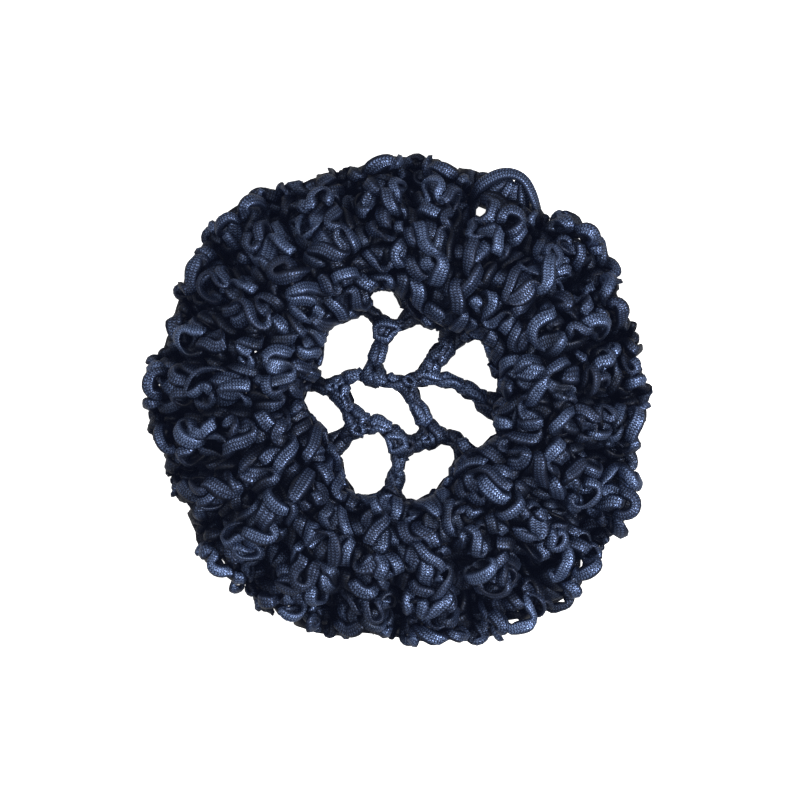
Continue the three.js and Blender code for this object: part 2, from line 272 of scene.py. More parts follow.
stitchKinds = np.array([
    [  # an upright leg in front, its way back behind the gap beside it
        (-0.5, 0.3, -1.3, 0, -0.2, -1), (-0.24, -0.06, -0.7, 0, -0.9, -0.5),
        (0, -0.08, 0.3, 0, -0.8, 0.6), (0, 0.26, 1.6, 0, -0.3, 1),
        (0, 0.74, 1.8, 0, 0.3, 1), (0.05, 1.08, 0.5, 0, 0.8, 0.6),
        (0.22, 1.06, -0.6, 0, 0.9, -0.5), (0.42, 0.7, -1.3, 0, 0.2, -1),
    ],
    [  # a leg that slants across
        (-0.5, 0.3, -1.3, 0, -0.3, -1), (-0.52, -0.02, -0.5, 0, -1, 0),
        (-0.38, 0.04, 0.9, 0, -0.5, 1), (-0.08, 0.4, 2, 0.1, -0.2, 1),
        (0.25, 0.8, 1.7, 0.1, 0.3, 1), (0.44, 1.08, 0.3, 0, 0.9, 0.3),
        (0.46, 0.98, -0.8, 0, 0.7, -0.8), (0.48, 0.62, -1.3, 0, 0, -1),
    ],
    [  # a loop that turns over in front
        (-0.48, 0.24, -1.2, 0, -0.4, -1), (-0.34, -0.02, 0, 0, -0.9, 0.4),
        (-0.34, 0.42, 1.4, -0.3, 0, 1), (-0.22, 0.92, 1.9, -0.2, 0.3, 1),
        (0.06, 1.15, 1.6, 0.1, 0.5, 0.9), (0.34, 0.88, 1.6, 0.3, 0.2, 0.9),
        (0.38, 0.4, 0.9, 0.3, 0, 1), (0.44, 0.1, -0.8, 0, -0.8, -0.5),
    ],
    [  # a high arch that stands on its edge
        (-0.5, 0.26, -1.3, 0, -0.3, -1), (-0.24, -0.08, -0.2, -0.5, -0.8, 0),
        (-0.2, 0.06, 1.5, -0.9, -0.3, 0.4), (-0.05, 0.4, 2.7, -0.8, 0, 0.7),
        (0.08, 0.78, 2.5, -0.7, 0.3, 0.7), (0.14, 1.08, 0.8, -0.3, 0.9, 0.4),
        (0.26, 1.02, -0.6, 0, 0.9, -0.5), (0.44, 0.62, -1.3, 0, 0.2, -1),
    ],
    [  # a leg that lies along the row, over the tops of its neighbours
        (-0.5, 0.4, -1.3, 0, 0, -1), (-0.7, 0.2, -0.4, -0.9, -0.3, 0),
        (-0.72, 0.38, 1, -0.6, 0, 0.9), (-0.3, 0.62, 2.1, -0.2, 0.1, 1),
        (0.25, 0.66, 2.1, 0.2, 0.1, 1), (0.66, 0.45, 1, 0.7, 0, 0.8),
        (0.64, 0.25, -0.5, 0.9, -0.3, -0.3), (0.48, 0.5, -1.3, 0, 0, -1),
    ],
    [  # a scallop whose top runs along the edge
        (-0.5, 0.2, -1, 0, -0.4, -1), (-0.42, 0.05, 0.2, -0.5, -0.6, 0.6),
        (-0.47, 0.58, 1.1, -0.5, 0.1, 0.9), (-0.27, 1.02, 1.3, -0.2, 0.5, 0.9),
        (0.14, 1.12, 1.3, 0.1, 0.6, 0.8), (0.44, 0.8, 1.1, 0.4, 0.3, 0.9),
        (0.43, 0.3, 0.6, 0.4, 0, 0.9), (0.46, 0.05, -0.6, 0, -0.8, -0.5),
    ],
])


def splineThrough(control, closed, per=8):  # a smooth curve through rows of numbers
    if closed:
        a, b, c, d = (np.roll(control, shift, axis=0) for shift in (1, 0, -1, -2))
    else:
        padded = np.concatenate([control[:1], control, control[-1:]])
        a, b, c, d = padded[:-3], padded[1:-2], padded[2:-1], padded[3:]
    t = (np.arange(per) / per)[None, :, None]
    a, b, c, d = (side[:, None, :] for side in (a, b, c, d))
    curve = 0.5 * (2 * b + (c - a) * t + (2 * a - 5 * b + 4 * c - d) * t ** 2
                   + (3 * b - a - 3 * c + d) * t ** 3)
    curve = curve.reshape(-1, control.shape[1])
    return curve if closed else np.concatenate([curve, control[-1:]])


def lengthsAlong(line):
    return np.concatenate([[0], np.cumsum(norm(np.diff(line, axis=0)))])


def evenly(curve, step, closed):  # the same curve with even steps; its first three numbers are its place
    ahead = np.concatenate([curve, curve[:1]]) if closed else curve
    total = lengthsAlong(ahead[:, :3])
    count = max(4, int(round(total[-1] / step)))
    at = np.linspace(0, total[-1], count + 1)
    if closed:
        at = at[:-1]
    return np.stack([np.interp(at, total, ahead[:, k]) for k in range(curve.shape[1])], axis=1)


# Each point of a path holds its place, the way it faces, twist, shade, width and the cloth's normal
twistAt, shadeAt, widthAt, normalAt = 6, 7, 8, slice(9, 12)
upwards = np.array([0, 0, 1.0])


def rays(turn):
    return np.stack([np.cos(turn), np.sin(turn), 0 * turn], axis=1)


def tapePath(place, face, twist, shade, width, normal, closed=True, per=8, step=tape["step"], **more):
    count = len(place)
    single = [np.broadcast_to(np.ravel(value), count)[:, None] for value in (twist, shade, width)]
    control = np.concatenate([place, face, *single, np.broadcast_to(normal, (count, 3))], axis=1)
    return {"points": evenly(splineThrough(control, closed, per), step, closed), "closed": closed, **more}


def lumps(column, v, rng):  # gentle hills over the cloth
    height = 0 * v
    for _ in range(5):
        turns = rng.integers(5, 19)
        lift = rng.uniform(0.2, 0.5)
        height = height + lift * np.sin(column * turns * 2 * np.pi / gridColumns
                                        + v * rng.uniform(4, 12) + rng.uniform(0, 6))
    return height


uneven = {  # how much stitches differ, each as a whole and then point by point
    "tilt": 0.26, "tall": 0.15, "shift": 0.09, "mirrored": 0.35, "rise": 0.4, "leastRise": 0.1,
    "mostRise": 1.7, "twist": 0.25, "width": 0.1, "narrowest": 0.75, "widest": 1.25, "backWidth": 1.3,
    "pointAlong": 0.03, "pointUp": 0.02, "pointOut": 0.08, "pointTwist": 0.05, "pointWidth": 0.04,
}


def workRow(cloth, row, rng):  # one closed round of stitches on a frill
    spots = np.arange(gridColumns + 1, dtype=float)
    line = onCloth(cloth, spots, np.full(gridColumns + 1, row["top"]))[0]
    arc = lengthsAlong(line)
    count = int(round(arc[-1] / row["pitch"]))
    pitch = arc[-1] / count
    pattern = stitchKinds[rng.choice(len(stitchKinds), count, p=row["kinds"])]
    size = pattern.shape[1]
    order = np.arange(count)[:, None]
    each = (count, 1)
    points = (count, size)
    wild = row.get("wild", 1.0)
    tilt = rng.normal(0, uneven["tilt"] * wild, each)
    tall = rng.normal(1, uneven["tall"] * wild, each)
    shift = rng.normal(0, uneven["shift"] * wild, each)
    mirror = np.where(rng.uniform(0, 1, each) < uneven["mirrored"], -1, 1)
    front = np.clip(pattern[:, :, 2], 0, 1)
    x = pattern[:, :, 0] * np.where(front > 0, mirror, 1)
    x = x + tilt * (pattern[:, :, 1] - 0.5) * 2 * front + rng.normal(0, uneven["pointAlong"], points)
    y = 0.5 + shift * front + (pattern[:, :, 1] - 0.5) * tall + rng.normal(0, uneven["pointUp"], points)
    rise = np.clip(rng.normal(1, uneven["rise"], each), uneven["leastRise"], uneven["mostRise"])
    rise = np.where(front > 0, rise, 1)
    z = pattern[:, :, 2] * row["depth"] * rise + rng.normal(0, uneven["pointOut"], points)
    place = ((order + 0.5 + x) * pitch) % arc[-1]
    column = np.interp(place.ravel(), arc, spots)
    v = row["base"] + (row["top"] - row["base"]) * y.ravel()
    spot, along, outwards, normal = onCloth(cloth, column, v)
    z = z.ravel() + row.get("lift", 0.0) + lumps(column, v, np.random.default_rng(seedNumber))
    spot = spot + normal * z[:, None]
    pattern[:, :, 3] *= mirror
    facing = pattern[:, :, 3:].reshape(-1, 3)
    face = along * facing[:, :1] + outwards * facing[:, 1:2] + normal * facing[:, 2:]
    twist = np.repeat(rng.normal(0, uneven["twist"], each), size, axis=0)
    twist = twist + rng.normal(0, uneven["pointTwist"], (count * size, 1))
    shade = np.repeat(rng.uniform(0, 1, each), size, axis=0)
    width = np.repeat(rng.normal(1, uneven["width"], each), size, axis=0)
    width = width + rng.normal(0, uneven["pointWidth"], (count * size, 1))
    width = tape["width"] * np.clip(width, uneven["narrowest"], uneven["widest"])
    behind = pattern[:, :, 2] < -0.5
    width = width * np.where(behind, uneven["backWidth"], row.get("spread", 1.0)).reshape(-1, 1)
    return tapePath(
        spot, face, twist, shade, width, normal, step=row.get("step", tape["step"]),
        **{key: row.get(key, 1.0) for key in ("loose", "paintedShadeGain", "tone")},
    )


mixed = [0.43, 0.3, 0.13, 0.02, 0.12, 0]   # how often each kind of stitch comes
innerFace = {"kinds": mixed, "paintedShadeGain": 1.3, "tone": 0.85}   # the last two: how much painted shade it gets under other tape, and a painted light level, darker on the inner frill and lighter on the outer
outerFace = {"kinds": mixed, "paintedShadeGain": 0.45, "tone": 1.08}
edging = {"kinds": [0.05, 0.05, 0.1, 0, 0, 0.8], "wild": 0.6, "loose": 0.6}
backs = {  # rounds behind the others, which close the cloth
    "pitch": 5.0, "depth": 0.4, "kinds": [1, 0, 0, 0, 0, 0], "spread": 1.4, "loose": 0.15, "step": 1.5,
}


def rowsOf(kind, *spots):
    return [dict(zip(("base", "top", "pitch", "depth"), spot), **kind) for spot in spots]


innerRows = rowsOf(
    innerFace, (0.01, 0.17, 4.9, 1.05), (0.17, 0.34, 5.0, 1.2), (0.34, 0.51, 5.1, 1.3),
    (0.51, 0.68, 5.2, 1.3), (0.68, 0.84, 5.2, 1.3), (0.84, 0.99, 5.2, 1.2),
) + rowsOf(edging, (0.97, 1.1, 5.8, 1.05))
outerRows = rowsOf(
    outerFace, (-0.14, 0.2, 4.4, 1.05), (0.2, 0.48, 4.9, 1.2), (0.48, 0.72, 5.0, 1.3), (0.72, 0.94, 5.0, 1.2),
) + rowsOf({**outerFace, **edging}, (0.9, 1.1, 6.2, 1.2))
innerRows += rowsOf({**backs, "lift": -1.9}, (0.25, 0.5), (0.5, 0.74), (0.72, 0.89))
outerRows += rowsOf({**backs, "lift": -1.6}, (0.2, 0.5), (0.5, 0.78), (0.74, 0.89))
rowRng = np.random.default_rng(seedNumber)
innerPaths = [workRow(innerCloth, row, rowRng) for row in innerRows]
outerPaths = [workRow(outerCloth, row, rowRng) for row in outerRows]

ground = {  # plain rounds of tape that the stitches stand on
    "width": 5.4, "edgeWidth": 3.4, "lift": -1.8, "step": 1.8, "stray": 0.008, "columns": 1.5, "firm": 0.2,
    "innerAt": (0.2, 0.34, 0.48, 0.62, 0.76, 0.88, 0.98),   # the last at the edge
    "outerAt": (0.14, 0.32, 0.5, 0.68, 0.84, 0.97),
}


def groundRound(cloth, v, width, rng):
    spots = np.arange(0, gridColumns, ground["columns"])
    stray = rng.normal(0, ground["stray"], len(spots))
    spot, along, outwards, normal = onCloth(cloth, spots, v + stray)
    spot = spot + normal * ground["lift"]
    # painted shade: these rounds lie behind the stitches, so they take only the darker half of the shades
    shade = rng.uniform(0, 0.5)
    return tapePath(spot, normal, 0, shade, width, normal, per=3, step=ground["step"], firm=ground["firm"])


for paths, cloth, rounds in ((innerPaths, innerCloth, "innerAt"), (outerPaths, outerCloth, "outerAt")):
    for v in ground[rounds]:
        width = ground["edgeWidth" if v == ground[rounds][-1] else "width"]
        paths.append(groundRound(cloth, v, width, rowRng))

fan = np.array([  # the shell of legs that stands out at the upper right: place, then facing
    (17.8, 45.2, 8.5, -0.4, 0.2, 0.9), (18.6, 48.2, 11.4, -0.3, 0.4, 0.9),
    (21, 50.2, 12.8, -0.2, 0.4, 0.9), (24.2, 51.6, 13.6, -0.1, 0.4, 0.9),
    (27.2, 51.6, 13.8, 0.1, 0.5, 0.9), (29.6, 50.2, 13.6, 0.4, 0.4, 0.8),
    (31.2, 47.6, 13, 0.7, 0.2, 0.6), (32.4, 44.4, 11.4, 0.8, 0.1, 0.5),
    (32.8, 40.8, 8.6, 0.8, -0.2, 0.5), (30.8, 39.8, 7.4, 0.2, -0.5, 0.7),
    (29.4, 42, 9.4, 0.3, -0.2, 0.9), (29.4, 45.6, 11.6, 0.3, 0.1, 0.9),
    (29.2, 49.2, 12.4, 0.3, 0.4, 0.9), (28.4, 50.6, 11.8, 0, 0.9, 0.4),
    (27.4, 48.8, 12.2, 0.1, 0.2, 1), (26.6, 45, 11.2, 0.1, 0, 1),
    (26, 41.4, 8.6, 0, -0.4, 0.9), (23.4, 41, 7.6, -0.2, -0.5, 0.8),
    (22.8, 43.4, 9.6, -0.3, 0, 0.9), (24, 46.4, 11.6, -0.3, 0.2, 0.9),
    (26.6, 49.8, 12, -0.1, 0.5, 0.8), (26, 50.8, 11.4, -0.3, 0.9, 0.3),
    (23.2, 49, 12.2, -0.4, 0.3, 0.8), (20.8, 46.8, 11.2, -0.4, 0.1, 0.9),
    (19.6, 43.6, 8.8, -0.3, -0.3, 0.9),
])
outerPaths.append(tapePath(
    fan[:, :3], fan[:, 3:], twist=0, shade=0.5, width=3.2, normal=upwards, firm=0.5))
report("rows worked", [len(p["points"]) for p in innerPaths + outerPaths])


# The net

net = {
    "pitch": 5.2,       # one stitch of chain
    "overlap": 1.4,     # how far a strand reaches into the knot at its end
    "high": 1.3,
    "radius": 26.2,     # where it meets the band's height
    "edgeHeight": 5.5,
    "rise": 6.5,
    "narrowest": 3.6,   # its tape, flattened by the pull
    "widest": 5.0,
    "perHalf": 1.6,     # the tape's width for each millimetre of the strand's half width
    "plus": 0.7,
    "stray": 0.04,
    "lastRoundOut": 2.2,
    "lastRoundHalf": 2.0,
    "firm": 0.4,
}
netKnots = [  # where strands meet: x, y, radius
    (-2, 15.4, 2.7), (0.3, -9.9, 2.4), (7.6, -9.2, 1.4), (-8.6, -6.8, 1.7), (-14.4, 2.8, 1.4),
    (3.2, 4, 1.3), (-5.2, 5, 1.2),
]
netStrands = [  # along each: x, y, half width
    [(-1.6, 16.8, 2.2), (-4, 10.7, 2), (-5, 6.5, 2.1), (-5.2, 4.4, 1.9)],
    [(-15.3, 2.7, 1.9), (-12.2, 4.4, 1.9), (-8.7, 5.6, 1.85), (-5.2, 4.6, 1.7), (-1.4, 4, 1.8),
     (2.5, 4.4, 2), (6, 4.8, 1.8)],
    [(2.9, 3.6, 2.4), (5.7, -2.5, 2.55), (7.8, -7.1, 2.5), (8.8, -9.5, 2.3)],
    [(5.6, 5.5, 2), (8.1, 7.8, 2.5), (10.5, 11, 2.9), (12.7, 14.1, 3.1), (13.7, 16.7, 3)],
    [(5.6, 4.8, 1.75), (9.1, 4.4, 1.7), (13.7, 3.5, 2.1), (17.2, 1.4, 2.5), (20, -0.6, 2.8),
     (23.1, -2.5, 2.9)],
    [(7.4, -9.2, 2.2), (11.9, -8.9, 2.1), (14.4, -10.9, 1.9), (15.6, -14.1, 2.1), (14.7, -17.6, 2.2),
     (12.6, -20.4, 2.2)],
    [(-13.2, 2.4, 2.4), (-11.3, -0.9, 2.6), (-9.3, -3.9, 2.8), (-8.5, -6.4, 2.6)],
    [(-9.1, -6.6, 2.6), (-5.2, -6.1, 2.5), (-2.1, -6.8, 2.3), (0.4, -9.4, 2.2)],
    [(0.4, -9.5, 2.3), (3.9, -10.5, 2.5), (7.4, -9.4, 2.3)],
    [(0.2, -8.6, 2.2), (0.6, -14.8, 2.4), (0, -18.6, 2.6), (-0.7, -21.8, 2.8), (-1, -25.3, 2.9)],
    [(-9.1, -7.1, 2.5), (-11.3, -8.6, 2.5), (-13.9, -10.6, 2.8), (-17.1, -13, 2.8)],
    [(-15, 3.1, 1.9), (-18.5, 3.4, 1.8), (-22.3, 3.8, 1.9)],
    [(-2.4, 15.6, 2), (-4.7, 19, 1.9), (-7.3, 20.7, 1.9), (-10.1, 22.6, 1.8)],
    [(-2.4, 16, 1.8), (2.5, 18, 2.3), (6.7, 18.7, 2.7), (9.8, 18.8, 2.6)],
]
netEdge = np.array([  # how far the open net reaches: angle, radius
    (9, 24), (33, 23.4), (54, 20.5), (75, 20), (87, 20.6), (92, 24.6), (97, 25.8), (103, 24.6),
    (109, 20), (120, 19.7), (128, 20.9), (140, 20.3), (152, 19), (165, 19), (177, 20),
    (186, 20.1), (198, 18.5), (215, 18), (230, 17.8), (239, 20.5), (248, 23.2), (260, 22),
    (277, 23.1), (291, 23.2), (302, 21.3), (312, 19.4), (328, 21.3), (341, 24.2), (355, 24),
])

netHoles = [  # the outlines of its nine holes, as points of smooth curves
    [(-5.5, 23.5), (-2, 24.4), (0.3, 22.5), (0.4, 19.3), (-2.8, 20.8)],
    [(-16.2, 5.6), (-15.6, 9.5), (-15.6, 13.5), (-13.2, 16.6), (-7.2, 18.2), (-6.1, 14.2), (-8.6, 8),
     (-12.4, 6.9)],
    [(-1.3, 9), (-0.6, 12.8), (2.4, 15.3), (7.2, 15.8), (9, 13.2), (6, 10.6), (4.6, 7.2), (0.3, 6.2)],
    [(12.8, 6.8), (15, 10.6), (18.8, 13.2), (20, 10), (21.2, 6), (23, 4), (20.2, 3.3),
     (16.3, 5.6)],
    [(-20.2, 1), (-17.8, 0.4), (-14.4, -2), (-12.9, -6), (-17, -4.6), (-20, -2)],
    [(-8.6, 3.2), (-5, 2.2), (-1.6, 1.8), (1.8, -1.6), (3.7, -7), (0.6, -4.9), (-2.6, -3.3), (-6.5, -1.6),
     (-9.4, 0.2)],
    [(6.2, 2.3), (11.8, 1.9), (15.6, 0), (20, -4.4), (22.3, -7.8), (18.2, -10.7), (15, -7),
     (10.6, -5.2), (8, -1.8)],
    [(-3.8, -9), (-2.2, -13.6), (-2.6, -17.6), (-4.6, -21.2), (-9, -21.2), (-11.2, -17.4), (-11.4, -13.4),
     (-8.6, -10.2)],
    [(3.2, -15), (6.4, -12.6), (11.4, -11.2), (12.7, -13.6), (11.2, -17.8), (7.8, -21.6), (3, -22.4),
     (3.2, -18.5)],
]
chainStitch = np.array([  # one stitch of chain: along in pitches, across, up, then the way it faces
    (0.1, -0.5, 0.3, 0, -0.9, 0.3), (0.4, -0.62, 0.8, 0, -0.4, 0.9),
    (0.75, -0.58, 0.8, 0, -0.4, 0.9), (1.02, -0.36, 0.35, 0.5, -0.7, 0.4),
    (1.14, 0, 0, 1, 0, 0.1), (1.02, 0.36, 0.35, 0.5, 0.7, 0.4),
    (0.75, 0.58, 0.8, 0, 0.4, 0.9), (0.4, 0.62, 0.8, 0, 0.4, 0.9),
    (0.1, 0.4, 0.3, -0.4, 0.6, 0.5), (-0.04, 0.08, -0.45, -0.9, 0, -0.4),
    (0.25, 0, -1, 0, 0, -1), (0.65, 0, -1, 0, 0, -1),
    (0.95, -0.15, -0.65, 0, -0.4, -0.9),
])


def onNet(xy):
    xy = np.asarray(xy, float)
    r = norm(xy - middle[:2])
    height = net["edgeHeight"] + net["rise"] * np.maximum(0, 1 - (r / net["radius"]) ** 2)
    return np.concatenate([xy, height[..., None]], axis=-1)


def chainAlong(line, halfWidth, rng):  # chain stitches worked along a line of points
    first = line[:1] + unit(line[:1] - line[1:2]) * net["overlap"]
    last = line[-1:] + unit(line[-1:] - line[-2:-1]) * net["overlap"]
    line = np.concatenate([first, line, last])
    halfWidth = np.concatenate([halfWidth[:1], halfWidth, halfWidth[-1:]])
    total = lengthsAlong(line)
    count = max(1, int(round(total[-1] / net["pitch"])))
    pitch = total[-1] / count
    size = len(chainStitch)
    stitch = np.tile(chainStitch, (count, 1)) + rng.normal(0, net["stray"], (count * size, 6))
    place = np.clip((np.repeat(np.arange(count), size) + stitch[:, 0]) * pitch, 0, total[-1])

    def onLine(place):
        return np.stack([np.interp(place, total, line[:, k]) for k in range(3)], axis=1)

    along = unit(onLine(place + 0.3) - onLine(place - 0.3))
    across = unit(np.cross(upwards, along))
    upright = np.cross(along, across)
    half = np.interp(place, total, halfWidth)
    width = np.clip(net["perHalf"] * half + net["plus"], net["narrowest"], net["widest"])
    legs = np.maximum(1.25 * half - 0.22 * width, 0.9) / chainStitch[:, 1].max()   # how far out they lie
    spot = onLine(place) + across * (stitch[:, 1] * legs)[:, None]
    spot = spot + upright * (stitch[:, 2] * net["high"])[:, None]
    face = along * stitch[:, 3:4] + across * stitch[:, 4:5] + upright * stitch[:, 5:6]
    shade = np.repeat(rng.uniform(0.2, 1, count), size)
    twist = rng.normal(0, 0.08, len(place))
    return tapePath(spot, face, twist, shade, width, upwards, closed=False, per=4, firm=net["firm"])


netRng = np.random.default_rng(seedNumber + 1)
netPaths = []
for strand in netStrands:
    strand = splineThrough(np.array(strand), False)
    netPaths.append(chainAlong(onNet(strand[:, :2]), strand[:, 2], netRng))
roundTurn = np.linspace(0, 360, 121)
reach = np.interp(roundTurn, netEdge[:, 0], netEdge[:, 1], period=360) + net["lastRoundOut"]
lastRound = (middle + reach[:, None] * rays(np.radians(roundTurn)))[:, :2]
netPaths.append(chainAlong(onNet(lastRound), np.full(len(lastRound), net["lastRoundHalf"]), netRng))

knot = {"points": 8, "height": 1.4, "wave": 0.5, "uneven": 0.12, "stray": 0.06, "width": 2.8, "firm": 0.25}


def knotPath(spot, size, rng):  # a round of tape with a small dark eye where strands meet
    turn = 2 * np.pi * np.arange(knot["points"]) / knot["points"] + rng.uniform(0, 1)
    out = rays(turn)
    z = knot["height"] + knot["wave"] * np.sin(2 * turn + size)
    size = size * (1 + knot["uneven"] * np.cos(2 * turn) + rng.normal(0, knot["stray"], len(turn)))
    points = onNet(spot) + out * size[:, None] + upwards * z[:, None]
    shade = rng.uniform(0.5, 1)
    return tapePath(points, out * 0.8 + upwards, 0, shade, knot["width"], upwards, firm=knot["firm"])


for x, y, size in netKnots:
    netPaths.append(knotPath((x, y), size, netRng))


# The band: tape wound tightly over the elastic

band = {"wraps": 52, "perWrap": 12, "across": 2.9, "high": 3.2, "height": 3.6, "stray": 0.08, "firm": 0.25}


def bandPath(rng):
    count = band["wraps"] * band["perWrap"]
    turn = 2 * np.pi * np.arange(count) / count
    roll = turn * band["wraps"] + 0.25 * np.sin(turn * band["wraps"])
    r = snood["bandRadius"] + band["across"] * np.cos(roll) + rng.normal(0, band["stray"], count)
    z = band["height"] + band["high"] * np.sin(roll) + rng.normal(0, 0.06, count)
    z = np.maximum(z, tape["thickness"] * 0.7)
    out = rays(turn)
    points = out * r[:, None] + middle + upwards * z[:, None]
    face = out * np.cos(roll)[:, None] + upwards * np.sin(roll)[:, None]
    shade = np.repeat(rng.uniform(0, 1, band["wraps"]), band["perWrap"])
    twist = rng.normal(0, band["stray"], count)
    return tapePath(points, face, twist, shade, tape["width"], face, per=4, firm=band["firm"])


bandPaths = [bandPath(np.random.default_rng(seedNumber + 2))]


# Settling: tape pushes tape apart, keeps its length, and stays near where it was worked

def neighbours(path):  # for each point of a path, the one before it and the one after
    index = np.arange(len(path["points"]))
    if path["closed"]:
        return np.roll(index, 1), np.roll(index, -1)
    return np.maximum(index - 1, 0), np.minimum(index + 1, len(index) - 1)


def gather(paths):  # all the paths as one set of points with their neighbours
    before, after, owner = [], [], []
    start = 0
    for number, path in enumerate(paths):
        previous, following = neighbours(path)
        before.append(start + previous)
        after.append(start + following)
        owner.append(np.full(len(previous), number))
        path["part"] = slice(start, start + len(previous))
        start += len(previous)
    points = np.concatenate([path["points"] for path in paths])
    return points, np.concatenate(before), np.concatenate(after), np.concatenate(owner)


def soften(values, before, after, times):
    for _ in range(times):
        values = (values * 2 + values[before] + values[after]) / 4
    return values


def softenFace(face, before, after, times):
    for _ in range(times):
        face = unit(soften(face, before, after, 1))
    return face


def framesOf(place, face, before, after):
    along = unit(place[after] - place[before])
    face = unit(face - along * np.sum(face * along, axis=1, keepdims=True))
    return along, face, np.cross(along, face)


def nearPairs(place, owner, reach, apart=4):  # pairs of points closer than reach
    cell = np.floor((place - place.min(axis=0)) / reach).astype(np.int64) + 1
    size = cell.max(axis=0) + 2
    key = (cell[:, 0] * size[1] + cell[:, 1]) * size[2] + cell[:, 2]
    order = np.argsort(key, kind="stable")
    sortedKey = key[order]
    firsts, seconds = [], []
    beside = (-1, 0, 1)
    shifts = [(dx * size[1] + dy) * size[2] + dz for dx in (0, 1) for dy in beside for dz in beside]
    for shift in [shift for shift in shifts if shift >= 0]:
        low = np.searchsorted(sortedKey, sortedKey + shift, side="left")
        high = np.searchsorted(sortedKey, sortedKey + shift, side="right")
        many = high - low
        i = np.repeat(np.arange(len(order)), many)
        j = np.arange(many.sum()) - np.repeat(np.cumsum(many) - many, many) + np.repeat(low, many)
        keep = j > i if shift == 0 else np.ones(len(i), bool)
        i = order[i[keep]]
        j = order[j[keep]]
        gap = place[i] - place[j]
        near = np.einsum("ij,ij->i", gap, gap) < reach * reach
        near &= (owner[i] != owner[j]) | (np.abs(i - j) > apart)
        firsts.append(i[near])
        seconds.append(j[near])
    return np.concatenate(firsts), np.concatenate(seconds)


# Where the frill is open to the table: x, y, radius
frillGaps = [(19.2, 42.9, 1.4), (26.2, -50.4, 0.6)]
holeOutlines = [splineThrough(np.array(hole), True, 3) for hole in netHoles]
for x, y, radius in frillGaps:
    holeOutlines.append(np.array([x, y]) + radius * rays(2 * np.pi * np.arange(8) / 8)[:, :2])
settling = {
    "rounds": 60,
    "quickRounds": 8,
    "searchEvery": 5,    # rounds between two searches for near tape
    "widthKept": 0.9,    # how much of its half width holds other tape off
    "press": 0.97,       # tapes may press in by the rest
    "mostOverlap": 0.8,
    "push": 0.25,
    "mostMove": 0.35,
    "smooth": 0.12,
    "pull": 0.25,        # how firmly a link keeps its length
    "firm": 0.02,        # how firmly a point stays where it was worked
    "bends": 8,          # passes that open bends sharper than this tape can make
    "freeBend": 0.16,
    "bendGain": 2.5,
    "holeEdge": 0.95,    # how much of its half width stays off a hole
    "holePush": 0.6,
}


def clearHoles(place, across, flat, halfWidth, fromFrill):  # nothing reaches over a hole in the net
    for outline in holeOutlines:
        centre = outline.mean(axis=0)
        wide = norm(outline - centre).max() + tape["width"]
        near = np.nonzero(norm(place[:, :2] - centre) < wide)[0]
        spot = place[near, None, :2]
        edge = np.roll(outline, -1, axis=0) - outline
        share = np.clip(np.sum((spot - outline) * edge, axis=2) / np.sum(edge * edge, axis=1), 0, 1)
        away = spot - outline - share[:, :, None] * edge
        gap = norm(away)
        nearest = gap.argmin(axis=1)
        rows = np.arange(len(near))
        gap = gap[rows, nearest]
        crossing = (outline[:, 1] > spot[:, :, 1]) != (np.roll(outline[:, 1], -1) > spot[:, :, 1])
        side = outline[:, 0] + edge[:, 0] * (spot[:, :, 1] - outline[:, 1]) / (edge[:, 1] + 1e-9)
        inside = np.sum(crossing & (spot[:, :, 0] < side), axis=1) % 2 == 1
        sign = np.where(inside, -1.0, 1.0)
        out = away[rows, nearest] / np.maximum(gap, 1e-6)[:, None] * sign[:, None]
        if np.linalg.norm(centre) < net["radius"]:
            outwards = unit(place[near, :2] - middle[:2])
            out = np.where((inside & fromFrill[near])[:, None], outwards, out)
        need = np.abs(np.sum(across[near, :2] * out, axis=1)) * halfWidth[near] * settling["holeEdge"]
        need += np.abs(np.sum(flat[near, :2] * out, axis=1)) * tape["thickness"] / 2
        push = np.clip(need - sign * gap, 0, 1.0)
        place[near, :2] += settling["holePush"] * push[:, None] * out


